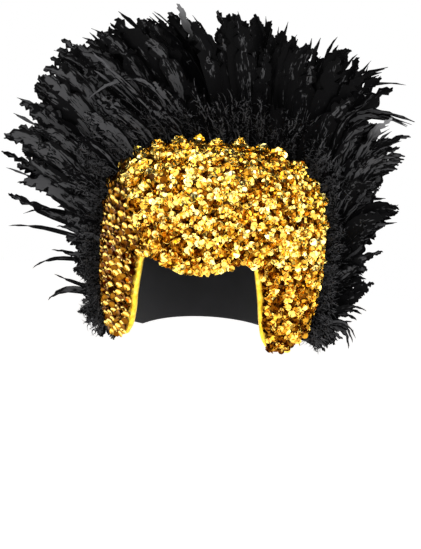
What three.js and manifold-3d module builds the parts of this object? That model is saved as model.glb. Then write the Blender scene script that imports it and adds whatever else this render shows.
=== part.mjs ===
// Carnival feather headdress, in millimetres: a stiff helmet front with two cheek flaps, covered in
// gold sequins and bound along the face opening, a plain cloth back, and four rows of black feathers
// that stand in a fan from one jaw over the crown to the other. +Z is up, the face looks along -Y, and
// the origin is the point inside the top of the crown that rests on the head.
import * as THREE from "three";
import { mergeVertices } from "three/addons/utils/BufferGeometryUtils.js";
import Module from "manifold-3d";

const wasm = await Module();
wasm.setup();

// Driving dimensions of the cap's outer cloth surface
const HALF_WIDTH = 112;
const FRONT_DEPTH = 80;
const BACK_DEPTH = 112;
const CROWN_RISE = 100; // from the widest level up to the top of the crown
const CROWN_POWER = 3; // 2 is an ellipse, and 3 gives the boxy crown
const FLAP_DROP = 112; // from the widest level down to the tip of a cheek flap
const SIDE_TAPER = 0.13; // shares lost at the tip of the flaps
const SIDE_TAPER_POWER = 1.6;
const FRONT_TAPER = 0.5;
const BACK_TAPER = 0.12;
const TAPER_EASE = 0.12; // share of the drop over which the front and back start to taper

// Thicknesses and seams
const SHELL_WALL = 3; // padded cloth of the helmet front
const BACK_WALL = 2;
const TAPE_WALL = 2;
const BINDING_WALL = 1.2;
const GAP = 0.4; // left between pieces that are sewn to each other
const SEQUIN_GAP = 1.1; // wider where a coarse mesh lies over a curve
const TAPE_GAP = 0.8;
const BINDING_INNER_GAP = 1;
const TAPE_WIDTH = 9;
const BINDING_LEG = 5; // how far the binding laps over each side of the shell
const SEQUIN_LOW = 2.6; // height of the sequin field between the bumps, over the cloth
const SEQUIN_HIGH = 6.8;
const SEQUIN_SCATTER = 0.7; // up and down, from bump to bump

// Steps of the meshes along the arch from jaw to jaw, and across it
const ARCH_STEPS = 36;
const SHELL_STEPS = 8;
const SEQUIN_ARCH_STEPS = 40;
const SEQUIN_STEPS = 12;
const BACK_STEPS = 6;
const BACK_START = 0.004; // share of the back's width that is left as a seam behind the front

// The arch where sequins end and feathers start, from the top of the crown to beside the jaw.
// across and back are distances from the crown's centre, rise is over the widest level.
const REAR_EDGE = [
  { across: 0, rise: 100, back: 0 },
  { across: 38, rise: 97, back: 0 },
  { across: 72, rise: 86, back: 0 },
  { across: 98, rise: 66, back: 1 },
  { across: 111, rise: 25, back: 4 },
  { across: 110, rise: -20, back: 6 },
  { across: 104, rise: -55, back: 2 },
  { across: 98, rise: -82, back: -5 },
];

// The face opening, from the peak over the nose to the front of a flap's tip
const FACE_EDGE = [
  { across: 0, rise: -25 },
  { across: 27, rise: -20 },
  { across: 43, rise: -13 },
  { across: 52, rise: -11 },
  { across: 58.5, rise: -15.5 },
  { across: 62, rise: -31 },
  { across: 65, rise: -52 },
  { across: 67, rise: -74 },
  { across: 70, rise: -89 },
  { across: 75, rise: -98 },
];
const TIP_SAG = 7; // the flap's bottom edge hangs this far below its two corners
const TIP_START = 0.7; // share of the arch where the flap starts to round off
const TIP_SKEW = 1.4; // above 1, the lowest point of the flap lies nearer the face

// The hem of the cloth back, from the nape to below the ear
const NAPE_RISE = -80;
const EAR_RISE = -93;
const EAR_AZIMUTH = 52; // degrees round from the back of the head

// The fan: where a full-length feather ends, seen from the front, for a root at a share of the arch
// from the left jaw, at -1, over the crown to the right jaw. The fan is wider on the left.
const FAN = [
  { along: -1, across: -122, z: -212 },
  { along: -0.93, across: -148, z: -184 },
  { along: -0.84, across: -172, z: -160 },
  { along: -0.75, across: -192, z: -132 },
  { along: -0.66, across: -211, z: -92 },
  { along: -0.58, across: -230, z: -52 },
  { along: -0.5, across: -243, z: -10 },
  { along: -0.42, across: -233, z: 40 },
  { along: -0.34, across: -212, z: 84 },
  { along: -0.26, across: -178, z: 118 },
  { along: -0.18, across: -130, z: 138 },
  { along: -0.1, across: -80, z: 151 },
  { along: 0, across: -15, z: 153 },
  { along: 0.1, across: 45, z: 146 },
  { along: 0.2, across: 95, z: 132 },
  { along: 0.3, across: 142, z: 114 },
  { along: 0.4, across: 182, z: 88 },
  { along: 0.48, across: 196, z: 48 },
  { along: 0.56, across: 190, z: 6 },
  { along: 0.65, across: 184, z: -40 },
  { along: 0.75, across: 174, z: -83 },
  { along: 0.85, across: 167, z: -126 },
  { along: 0.93, across: 154, z: -163 },
  { along: 1, across: 124, z: -190 },
];

// The feather rows from front to back. behind is the distance of the tape's middle behind the arch,
// tilt is the feathers' lean towards the back, in degrees, and share is their part of the full reach.
const ROWS = [
  { name: "feather_row_fluff", behind: 8, tilt: -26, share: 0.48, locks: 18 },
  { name: "feather_row_front", behind: 20, tilt: -10, share: 0.88, locks: 17 },
  { name: "feather_row_middle", behind: 33, tilt: 5, share: 1.1, locks: 16 },
  { name: "feather_row_rear", behind: 49, tilt: 29, share: 1.02, locks: 14 },
];
// The sections of a lock of feathers: the width is a multiple of the locks' spacing at their roots.
const LOCK_SECTIONS = [
  { at: 0, width: 0.95, thickness: 7 },
  { at: 0.45, width: 1.5, thickness: 9 },
  { at: 0.75, width: 1.05, thickness: 6 },
];
const ROOT_LIFT = 0.35; // share of a lock's length over which it still stands square to the cloth
const SHORTEST_LOCK = 36;
const WIDEST_LOCK = 0.7; // share of its length
const LENGTH_JITTER = 0.1;
const SPREAD_JITTER = 0.012; // shares of the arch

// Steps of the two measures that are taken along the cap's surface
const SLOPE_STEP = 0.05; // millimetres
const WALK_STEP = 0.004; // shares of a panel's width

const WIDEST_Z = SHELL_WALL - CROWN_RISE;
const CENTRE = new THREE.Vector3(0, 0, WIDEST_Z);

// A repeatable number from -1 to 1 for a pair of whole numbers.
function scatter(a, b) {
  const wave = Math.sin(a * 127.1 + b * 311.7) * 43758.5453;
  return 2 * (wave - Math.floor(wave)) - 1;
}

// The value of a column of a table, between its rows, at a value of the key column.
function lookUp(table, key, column, at) {
  const next = table.findIndex((row) => row[key] >= at);
  if (next < 0) return table[table.length - 1][column];
  if (next === 0) return table[0][column];
  const [low, high] = [table[next - 1], table[next]];
  return THREE.MathUtils.mapLinear(at, low[key], high[key], low[column], high[column]);
}

// Half-width and depths of the horizontal section at a height.
function sectionAt(z) {
  const drop = Math.max(0, (WIDEST_Z - z) / FLAP_DROP);
  const tuck = (drop * drop) / (drop + TAPER_EASE);
  return {
    halfWidth: HALF_WIDTH * (1 - SIDE_TAPER * Math.pow(drop, SIDE_TAPER_POWER)),
    front: FRONT_DEPTH * (1 - FRONT_TAPER * tuck),
    back: BACK_DEPTH * (1 - BACK_TAPER * tuck),
  };
}

// 1 on the cap's outer surface, less inside it.
function fraction(p) {
  const section = sectionAt(p.z);
  const depth = p.y < 0 ? section.front : section.back;
  const flat = Math.hypot(p.x / section.halfWidth, p.y / depth);
  const rise = Math.max(0, (p.z - WIDEST_Z) / CROWN_RISE);
  return Math.pow(Math.pow(flat, CROWN_POWER) + Math.pow(rise, CROWN_POWER), 1 / CROWN_POWER);
}

// The point of the cap that is seen from the centre through p, or level with p on the flaps.
function onCap(p) {
  const scale = 1 / fraction(p);
  if (p.z < WIDEST_Z) return new THREE.Vector3(p.x * scale, p.y * scale, p.z);
  return p.clone().sub(CENTRE).multiplyScalar(scale).add(CENTRE);
}

function normalAt(p) {
  const slope = (axis) => {
    const ahead = p.clone();
    const behind = p.clone();
    ahead[axis] += SLOPE_STEP;
    behind[axis] -= SLOPE_STEP;
    return fraction(ahead) - fraction(behind);
  };
  return new THREE.Vector3(slope("x"), slope("y"), slope("z")).normalize();
}

// A point of the cap's surface moved out along the normal.
function lifted(p, height) {
  return p.clone().addScaledVector(normalAt(p), height);
}

// A smooth curve through points of the right half and their mirror images, from left to right.
function mirroredCurve(rightHalf) {
  const left = rightHalf
    .slice(1)
    .reverse()
    .map((p) => new THREE.Vector3(-p.x, p.y, p.z));
  return new THREE.CatmullRomCurve3([...left, ...rightHalf], false, "centripetal");
}

function frontPoint(across, rise) {
  const z = WIDEST_Z + rise;
  const section = sectionAt(z);
  return new THREE.Vector3(across, -section.front * Math.sqrt(1 - (across / section.halfWidth) ** 2), z);
}

const rearCurve = mirroredCurve(
  REAR_EDGE.map((row) => onCap(new THREE.Vector3(row.across, row.back, WIDEST_Z + row.rise))),
);
const faceCurve = mirroredCurve(FACE_EDGE.map((row) => frontPoint(row.across, row.rise)));

// along runs from -1 at the left jaw over the crown at 0 to 1 at the right jaw.
function rearEdge(along) {
  return onCap(rearCurve.getPointAt((along + 1) / 2));
}

function hemEdge(along) {
  const azimuth = THREE.MathUtils.degToRad(EAR_AZIMUTH) * along;
  const z = WIDEST_Z + THREE.MathUtils.lerp(NAPE_RISE, EAR_RISE, along * along);
  const section = sectionAt(z);
  return new THREE.Vector3(section.halfWidth * Math.sin(azimuth), section.back * Math.cos(azimuth), z);
}

// The helmet front from the arch, at across 0, to the face opening, at 1.
function frontPanel(along, across) {
  const p = rearEdge(along).lerp(faceCurve.getPointAt((along + 1) / 2), across);
  const rounding = Math.max(0, (Math.abs(along) - TIP_START) / (1 - TIP_START)) ** 2;
  p.z -= TIP_SAG * rounding * Math.sin(Math.PI * across ** TIP_SKEW);
  return onCap(p);
}

// The cloth back from the arch, at across 0, to the hem, at 1.
function backPanel(along, across) {
  return onCap(rearEdge(along).lerp(hemEdge(along), across));
}

// The share across a panel at which its line is a distance away from the arch.
function shareAt(panel, along, distance) {
  let travelled = 0;
  let share = 0;
  let last = panel(along, 0);
  while (travelled < distance && share < 1) {
    share += WALK_STEP;
    const next = panel(along, share);
    travelled += next.distanceTo(last);
    last = next;
  }
  return share;
}

// A grid of points: one list for each step along the arch, from left to right.
function gridOf(steps, stepsAcross, pointAt) {
  return Array.from({ length: steps + 1 }, (_, i) =>
    Array.from({ length: stepsAcross + 1 }, (_, j) => pointAt((2 * i) / steps - 1, j / stepsAcross, i, j)),
  );
}

// A closed solid between two grids of the same size, with walls round its four edges. With pyramids,
// each quad of the top folds between the two of its corners whose numbers add up to an even one.
function slab(top, bottom, pyramids = false) {
  const columns = top.length;
  const rows = top[0].length;
  const corners = [...top.flat(), ...bottom.flat()];
  const upper = (i, j) => i * rows + j;
  const lower = (i, j) => columns * rows + i * rows + j;
  const faces = [];
  const quad = (a, b, c, d) => faces.push(a, b, c, a, c, d);
  for (let i = 0; i < columns - 1; i++) {
    for (let j = 0; j < rows - 1; j++) {
      if (pyramids && (i + j) % 2) quad(upper(i, j + 1), upper(i + 1, j + 1), upper(i + 1, j), upper(i, j));
      else quad(upper(i, j), upper(i, j + 1), upper(i + 1, j + 1), upper(i + 1, j));
      quad(lower(i, j), lower(i + 1, j), lower(i + 1, j + 1), lower(i, j + 1));
    }
    quad(upper(i, 0), upper(i + 1, 0), lower(i + 1, 0), lower(i, 0));
    quad(upper(i + 1, rows - 1), upper(i, rows - 1), lower(i, rows - 1), lower(i + 1, rows - 1));
  }
  for (let j = 0; j < rows - 1; j++) {
    quad(upper(0, j + 1), upper(0, j), lower(0, j), lower(0, j + 1));
    quad(upper(columns - 1, j), upper(columns - 1, j + 1), lower(columns - 1, j + 1), lower(columns - 1, j));
  }
  return facedOutwards(corners, faces);
}

// A closed loft through rings of the same number of points, with flat or pointed ends.
function loft(rings) {
  const sides = rings[0].length;
  const faces = [];
  rings.slice(1).forEach((_, k) => {
    for (let i = 0; i < sides; i++) {
      const [a, b] = [k * sides + i, k * sides + ((i + 1) % sides)];
      faces.push(a, b, b + sides, a, b + sides, a + sides);
    }
  });
  const end = (rings.length - 1) * sides;
  const cap = THREE.ShapeUtils.triangulateShape(endShape(rings[0]), []);
  cap.forEach(([a, b, c]) => faces.push(c, b, a, end + a, end + b, end + c));
  return facedOutwards(rings.flat(), faces);
}

// A ring laid flat in its own plane, so that its end face can be cut into triangles.
function endShape(ring) {
  const across = ring[1].clone().sub(ring[0]).normalize();
  const area = new THREE.Vector3();
  ring.forEach((p, i) => area.add(p.clone().cross(ring[(i + 1) % ring.length])));
  const up = area.normalize().cross(across);
  return ring
    .map((p) => p.clone().sub(ring[0]))
    .map((p) => new THREE.Vector2(p.dot(across), p.dot(up)));
}

// A geometry whose faces are turned round together if they enclose a negative volume.
function facedOutwards(corners, faces) {
  let volume = 0;
  for (let i = 0; i < faces.length; i += 3) {
    const [a, b, c] = [corners[faces[i]], corners[faces[i + 1]], corners[faces[i + 2]]];
    volume += a.dot(b.clone().cross(c));
  }
  const geometry = new THREE.BufferGeometry().setFromPoints(corners);
  geometry.setIndex(volume < 0 ? [...faces].reverse() : faces);
  return geometry;
}

function toManifold(geometry) {
  const merged = mergeVertices(geometry, 1e-3);
  return new wasm.Manifold(
    new wasm.Mesh({
      numProp: 3,
      vertProperties: merged.attributes.position.array,
      triVerts: new Uint32Array(merged.index.array),
    }),
  );
}

function toGeometry(solid) {
  const mesh = solid.getMesh();
  return new THREE.BufferGeometry()
    .setAttribute("position", new THREE.BufferAttribute(mesh.vertProperties, 3))
    .setIndex(new THREE.BufferAttribute(mesh.triVerts, 1));
}

function frontShell() {
  const outside = gridOf(ARCH_STEPS, SHELL_STEPS, frontPanel);
  const inside = outside.map((line) => line.map((p) => lifted(p, -SHELL_WALL)));
  return slab(outside, inside);
}

// The sequins as one field whose face rises and falls from bump to bump, cut back to the binding.
function sequinField() {
  const point = (height) => (along, across, i, j) =>
    lifted(frontPanel(along, THREE.MathUtils.lerp(shareAt(frontPanel, along, 1), 1, across)), height(i, j));
  const bump = (i, j) => ((i + j) % 2 ? SEQUIN_HIGH : SEQUIN_LOW) + SEQUIN_SCATTER * scatter(i, j);
  const field = slab(
    gridOf(SEQUIN_ARCH_STEPS, SEQUIN_STEPS, point(bump)),
    gridOf(SEQUIN_ARCH_STEPS, SEQUIN_STEPS, point(() => SEQUIN_GAP)),
    true,
  );
  const inset = -BINDING_LEG - GAP;
  const beyond = 2 * SEQUIN_HIGH;
  const cover = BINDING_WALL + 2 * GAP;
  const profile = [
    { out: inset, up: cover },
    { out: beyond, up: cover },
    { out: beyond, up: -SHELL_WALL },
    { out: inset, up: -SHELL_WALL },
  ];
  const bound = sweepRim(profile, 2 * BINDING_LEG);
  return toGeometry(toManifold(field).subtract(toManifold(bound)));
}

// The edge of a flap's bottom and of the face opening, from the left flap's rear corner to the right's.
function faceRim() {
  const bottom = Array.from({ length: SHELL_STEPS }, (_, j) => j / SHELL_STEPS);
  const opening = Array.from({ length: ARCH_STEPS + 1 }, (_, i) => (2 * i) / ARCH_STEPS - 1);
  return [
    ...bottom.map((across) => frontPanel(-1, across)),
    ...opening.map((along) => frontPanel(along, 1)),
    ...bottom.reverse().map((across) => frontPanel(1, across)),
  ];
}

// A section that follows the rim and runs past its two ends by a distance. out points away from the
// shell in its surface, and up off the cloth.
function sweepRim(profile, overrun = 0) {
  const rim = faceRim();
  if (overrun) {
    rim.unshift(rim[0].clone().add(rim[0].clone().sub(rim[1]).setLength(overrun)));
    rim.push(rim.at(-1).clone().add(rim.at(-1).clone().sub(rim.at(-2)).setLength(overrun)));
  }
  const rings = rim.map((p, i) => {
    const ahead = rim[Math.min(i + 1, rim.length - 1)];
    const behind = rim[Math.max(i - 1, 0)];
    const up = normalAt(p);
    const out = ahead.clone().sub(behind).cross(up).normalize();
    return profile.map((corner) => p.clone().addScaledVector(out, corner.out).addScaledVector(up, corner.up));
  });
  return loft(rings);
}

// The binding: a tape folded over the rim in a U.
function faceBinding() {
  const under = -SHELL_WALL - BINDING_INNER_GAP;
  return sweepRim([
    { out: -BINDING_LEG, up: GAP + BINDING_WALL },
    { out: GAP + BINDING_WALL, up: GAP + BINDING_WALL },
    { out: GAP + BINDING_WALL, up: under - BINDING_WALL },
    { out: -BINDING_LEG, up: under - BINDING_WALL },
    { out: -BINDING_LEG, up: under },
    { out: GAP, up: under },
    { out: GAP, up: GAP },
    { out: -BINDING_LEG, up: GAP },
  ]);
}

function backShell() {
  const outside = gridOf(ARCH_STEPS, BACK_STEPS, (along, across) =>
    backPanel(along, THREE.MathUtils.lerp(BACK_START, 1, across)),
  );
  const inside = outside.map((line) => line.map((p) => lifted(p, -BACK_WALL)));
  return slab(outside, inside);
}

// The tape that a row of feathers is sewn to.
function tape(row) {
  const edges = [row.behind - TAPE_WIDTH / 2, row.behind + TAPE_WIDTH / 2];
  const strip = (height) =>
    gridOf(ARCH_STEPS, 1, (along, across) =>
      lifted(backPanel(along, shareAt(backPanel, along, edges[Math.round(across)])), height),
    );
  return slab(strip(TAPE_GAP + TAPE_WALL), strip(TAPE_GAP));
}

// One lock of feathers: a flat pointed blade that leaves the tape square and bends into the fan.
function lock(row, number, rowNumber) {
  const along = THREE.MathUtils.mapLinear(number + 0.5, 0, row.locks, -1, 1);
  const share = shareAt(backPanel, along, row.behind);
  const cloth = backPanel(along, share);
  const normal = normalAt(cloth);
  const root = cloth.clone().addScaledVector(normal, TAPE_GAP + TAPE_WALL / 2);
  const aim = along + SPREAD_JITTER * scatter(number, rowNumber);
  const reach = new THREE.Vector3(
    lookUp(FAN, "along", "across", aim) - root.x,
    0,
    lookUp(FAN, "along", "z", aim) - root.z,
  ).multiplyScalar(row.share * (1 - LENGTH_JITTER * (1 + scatter(rowNumber, number))));
  const length = Math.max(reach.length(), SHORTEST_LOCK);
  reach.setLength(length);
  const tip = root.clone().add(reach);
  tip.y += length * Math.tan(THREE.MathUtils.degToRad(row.tilt));
  const bend = root.clone().addScaledVector(normal, ROOT_LIFT * length);
  const spine = new THREE.QuadraticBezierCurve3(root, bend, tip);
  const step = 1 / row.locks;
  const spacing = backPanel(along + step, share).distanceTo(backPanel(along - step, share));
  const archway = backPanel(along + step, share).sub(backPanel(along - step, share)).normalize();
  const rings = LOCK_SECTIONS.map((section) => {
    const middle = spine.getPoint(section.at);
    const heading = spine.getTangent(section.at);
    const across = archway.clone().addScaledVector(heading, -archway.dot(heading)).normalize();
    const through = heading.clone().cross(across);
    const halfWidth = Math.min(section.width * spacing, WIDEST_LOCK * length) / 2;
    return [
      middle.clone().addScaledVector(across, halfWidth),
      middle.clone().addScaledVector(through, section.thickness / 2),
      middle.clone().addScaledVector(across, -halfWidth),
      middle.clone().addScaledVector(through, -section.thickness / 2),
    ];
  });
  return pointed(rings, tip);
}

// A loft through rings that ends in one point.
function pointed(rings, tip) {
  const sides = rings[0].length;
  const corners = [...rings.flat(), tip];
  const last = (rings.length - 1) * sides;
  const faces = [];
  for (let k = 0; k < rings.length - 1; k++) {
    for (let i = 0; i < sides; i++) {
      const [a, b] = [k * sides + i, k * sides + ((i + 1) % sides)];
      faces.push(a, b, b + sides, a, b + sides, a + sides);
    }
  }
  for (let i = 0; i < sides; i++) faces.push(last + i, last + ((i + 1) % sides), corners.length - 1);
  for (let i = 1; i < sides - 1; i++) faces.push(0, i + 1, i);
  return facedOutwards(corners, faces);
}

function featherRow(row, rowNumber) {
  const solids = [toManifold(tape(row))];
  for (let number = 0; number < row.locks; number++) solids.push(toManifold(lock(row, number, rowNumber)));
  return toGeometry(wasm.Manifold.union(solids));
}

const gold = new THREE.MeshStandardMaterial({ color: 0xe0a52a, roughness: 0.25, metalness: 1 });
const lame = new THREE.MeshStandardMaterial({ color: 0xd9a83c, roughness: 0.45, metalness: 0.7 });
const felt = new THREE.MeshStandardMaterial({ color: 0x15130f, roughness: 0.95, metalness: 0 });
const cotton = new THREE.MeshStandardMaterial({ color: 0x101012, roughness: 0.85, metalness: 0 });
const feather = new THREE.MeshStandardMaterial({ color: 0x0d0d0f, roughness: 0.5, metalness: 0 });

const headdress = new THREE.Group();

function add(name, geometry, material) {
  const mesh = new THREE.Mesh(geometry, material);
  mesh.name = name;
  headdress.add(mesh);
}

add("front_shell", frontShell(), felt);
add("sequin_field", sequinField(), gold);
add("face_binding", faceBinding(), lame);
add("back_shell", backShell(), cotton);
ROWS.forEach((row, rowNumber) => add(row.name, featherRow(row, rowNumber), feather));

export default headdress;
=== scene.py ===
"""A carnival feather headdress, dressed over its CAD frame.

A stiff helmet front with two cheek flaps is covered in gold sequins and bound in gold lame, its back is
plain black cotton, and four rows of black feathers stand in a fan from one jaw over the crown to the
other. Everything is in metres: +Z up, the face opening looks along -Y, and the origin is the point inside
the top of the crown that rests on the head.

A place on the cap is told by two shares. One runs along the arch where the feathers start, from -1 at the
left jaw over the crown to 1 at the right one, and one runs across a panel, from 0 at that arch to 1 at the
panel's free edge.
"""

import logging
import math
from collections.abc import Callable, Mapping, Sequence
from dataclasses import dataclass, field
from enum import Enum

import bmesh
import bpy
import numpy as np
from mathutils import Matrix, Vector, noise


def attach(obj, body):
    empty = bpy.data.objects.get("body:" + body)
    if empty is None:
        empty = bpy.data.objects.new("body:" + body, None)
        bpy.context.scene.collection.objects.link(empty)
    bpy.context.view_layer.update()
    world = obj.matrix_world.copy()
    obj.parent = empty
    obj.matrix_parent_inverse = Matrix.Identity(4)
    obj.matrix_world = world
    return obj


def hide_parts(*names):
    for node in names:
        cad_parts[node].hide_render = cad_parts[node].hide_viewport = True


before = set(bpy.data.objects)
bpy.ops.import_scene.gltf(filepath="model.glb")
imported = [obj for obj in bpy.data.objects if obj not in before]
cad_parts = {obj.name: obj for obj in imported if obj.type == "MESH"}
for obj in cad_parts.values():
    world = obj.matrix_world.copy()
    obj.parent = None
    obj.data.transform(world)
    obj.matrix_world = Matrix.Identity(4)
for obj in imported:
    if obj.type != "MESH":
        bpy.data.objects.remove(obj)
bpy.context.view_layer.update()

logging.basicConfig(level=logging.INFO, format="%(message)s")
LOG = logging.getLogger("headdress")

Array = np.ndarray
Random = np.random.Generator
Surface = Callable[[Array, Array], Array]

BODY = "root"

# The arch where the sequins end and the feathers start, from the top of the crown to beside the jaw:
# distance across, rise over the widest level, and distance back.
REAR_EDGE = (
    (0.000, 0.100, 0.000),
    (0.038, 0.097, 0.000),
    (0.072, 0.086, 0.000),
    (0.098, 0.066, 0.001),
    (0.111, 0.025, 0.004),
    (0.110, -0.020, 0.006),
    (0.104, -0.055, 0.002),
    (0.098, -0.082, -0.005),
)

# The rim of the face opening, from the peak at its middle to the front of a flap's tip: across and rise.
FACE_EDGE = (
    (0.0000, -0.0250),
    (0.0270, -0.0200),
    (0.0430, -0.0130),
    (0.0520, -0.0110),
    (0.0585, -0.0155),
    (0.0620, -0.0310),
    (0.0650, -0.0520),
    (0.0670, -0.0740),
    (0.0700, -0.0890),
    (0.0750, -0.0980),
)

# How far the feathers reach from the fan's centre, seen from the front: heading in degrees, from the right
# over the top to the left, the dense part's radius, and the radius of the longest feathers.
REACH = (
    (-45, 0.155, 0.168), (-30, 0.172, 0.178), (-20, 0.154, 0.172), (-10, 0.160, 0.172), (0, 0.148, 0.164),
    (5, 0.164, 0.174), (10, 0.184, 0.194), (15, 0.184, 0.194), (20, 0.158, 0.178), (25, 0.186, 0.203),
    (30, 0.188, 0.212), (35, 0.206, 0.232), (40, 0.208, 0.238), (45, 0.208, 0.246), (50, 0.224, 0.250),
    (55, 0.234, 0.243), (60, 0.240, 0.246), (67, 0.226, 0.241), (75, 0.224, 0.239), (80, 0.228, 0.238),
    (87, 0.238, 0.245), (95, 0.224, 0.242), (100, 0.224, 0.244), (106, 0.240, 0.252), (110, 0.236, 0.256),
    (120, 0.253, 0.258), (125, 0.240, 0.262), (132, 0.263, 0.274), (140, 0.254, 0.265), (150, 0.246, 0.262),
    (160, 0.228, 0.252), (165, 0.194, 0.235), (170, 0.158, 0.215), (175, 0.170, 0.205), (180, 0.148, 0.180),
    (185, 0.154, 0.166), (195, 0.149, 0.165), (205, 0.144, 0.154), (215, 0.150, 0.162), (232, 0.147, 0.158),
)

CURVE_STEPS = 24


def unit(vectors: Array) -> Array:
    """Scale vectors along the last axis to length 1."""
    return vectors / np.maximum(np.linalg.norm(vectors, axis=-1, keepdims=True), 1e-12)


def smooth_curve(points: Array) -> Array:
    """Draw a centripetal Catmull-Rom curve through points.

    Args:
        points: the points, one in each row.

    Returns:
        The points of the curve.
    """
    ghosts = np.vstack([2 * points[0] - points[1], points, 2 * points[-1] - points[-2]])
    t = np.linspace(0.0, 1.0, CURVE_STEPS, endpoint=False)[:, None]
    spans = []
    for a, b, c, d in zip(ghosts[:-3], ghosts[1:-2], ghosts[2:-1], ghosts[3:]):
        first, second, third = (math.sqrt(np.linalg.norm(q - p)) for p, q in ((a, b), (b, c), (c, d)))
        leave = ((b - a) / first - (c - a) / (first + second) + (c - b) / second) * second
        arrive = ((c - b) / second - (d - b) / (second + third) + (d - c) / third) * second
        cubic = 2 * b - 2 * c + leave + arrive
        square = -3 * b + 3 * c - 2 * leave - arrive
        spans.append(b + leave * t + square * t**2 + cubic * t**3)
    return np.vstack([*spans, points[-1:]])


def both_sides(right: Array) -> Array:
    """Mirror a line that starts at the middle, and join the halves from left to right."""
    return np.vstack([right[:0:-1] * (-1, 1, 1), right])


def lengths_along(points: Array) -> Array:
    """Measure the distance travelled at each point of one line or of several, from 0."""
    steps = np.linalg.norm(np.diff(points, axis=-2), axis=-1)
    return np.concatenate([np.zeros_like(steps[..., :1]), np.cumsum(steps, axis=-1)], axis=-1)


def point_at(points: Array, share: Array) -> Array:
    """Find points of a line at shares of its length.

    Args:
        points: the points of the line.
        share: shares from 0 to 1.

    Returns:
        One point for each share.
    """
    travelled = lengths_along(points)
    at = np.asarray(share) * travelled[-1]
    return np.stack([np.interp(at, travelled, points[:, axis]) for axis in range(3)], axis=-1)


def nearest(points: Array, spots: Array) -> tuple[Array, Array]:
    """Find the number of the spot nearest to each point, and the distance to it."""
    gaps = np.linalg.norm(points[:, None] - spots[None], axis=2)
    return np.argmin(gaps, axis=1), gaps.min(axis=1)


def ripple(points: Array, size: float, seed: float) -> Array:
    """Give smooth noise at points, from about -1 to 1, with its bumps a size apart."""
    shift = Vector((seed, 2.7 * seed, -1.3 * seed))
    return np.array([noise.noise(Vector(p) / size + shift) for p in points])


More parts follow.
